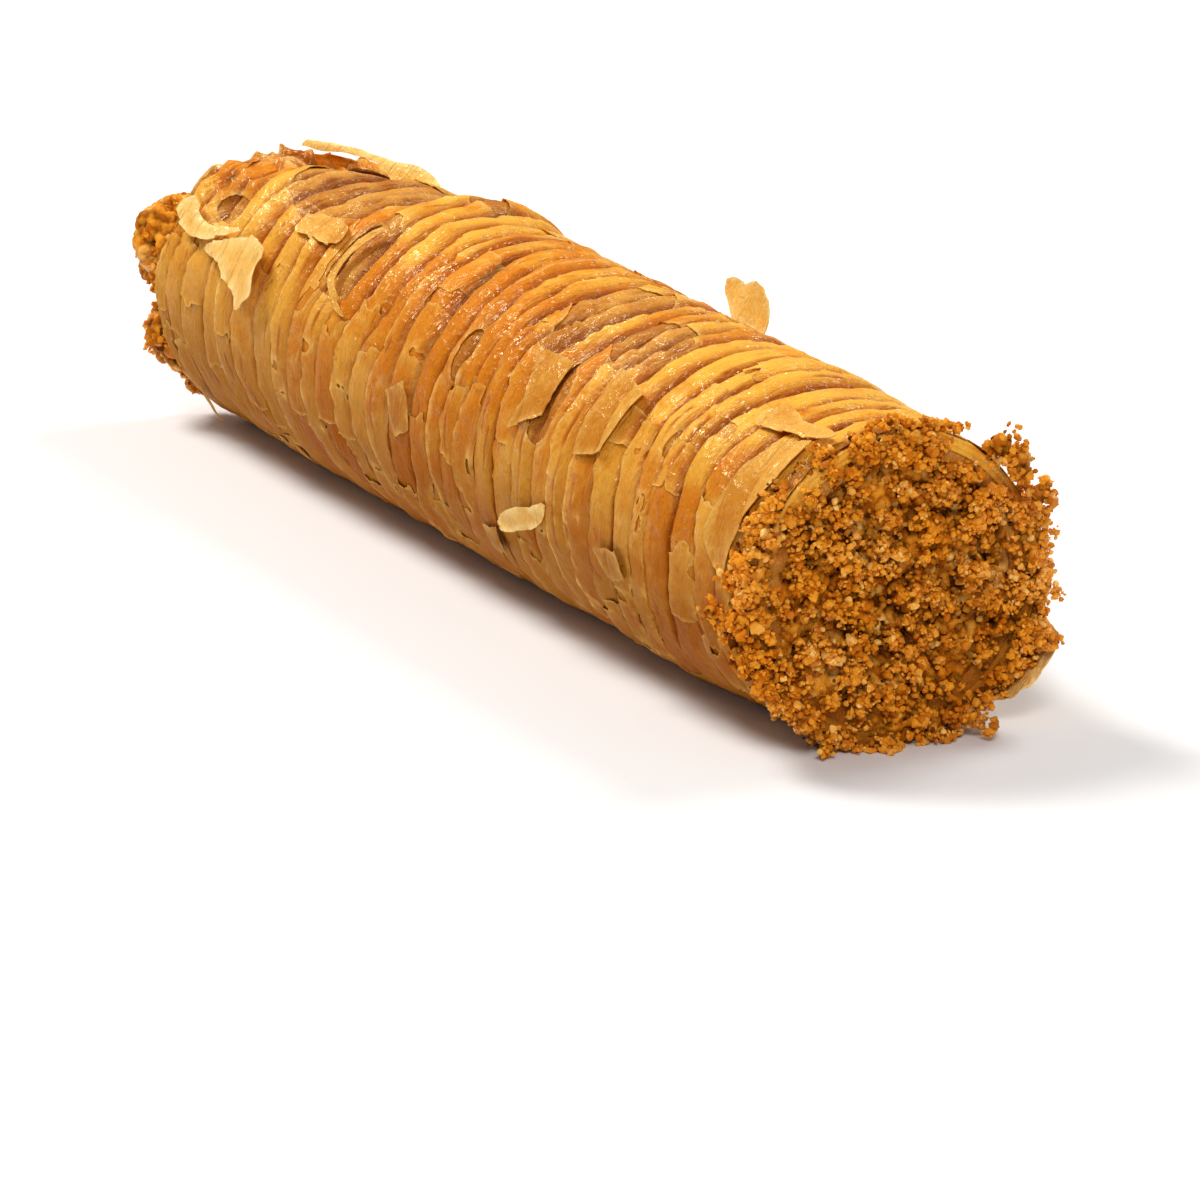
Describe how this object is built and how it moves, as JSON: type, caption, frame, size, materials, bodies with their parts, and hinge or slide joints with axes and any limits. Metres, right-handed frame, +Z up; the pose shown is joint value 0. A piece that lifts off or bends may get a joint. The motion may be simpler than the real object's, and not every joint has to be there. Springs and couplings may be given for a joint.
{
  "type": "baklava roll",
  "caption": "Cylindrical pleated filo pastry roll, filled, with crumb-coated ends, torn outer sheets and loose flakes, lying on its side.",
  "frame": {"origin": "on the surface it lies on, under the middle of its bounding box", "axes": "+X along the roll towards the end whose whole face is crumbs, -Y towards the side with the large loose flakes, +Z up"},
  "size_m": [0.1365, 0.036, 0.0316],
  "materials": {
    "pastry": "baked filo pastry, golden to brown, glazed with syrup",
    "crumbs": "brown nut and pastry crumbs, damp with syrup"
  },
  "bodies": {
    "root": {"pastry": "pastry", "crumbed_filling": "crumbs"}
  },
  "joints": []
}
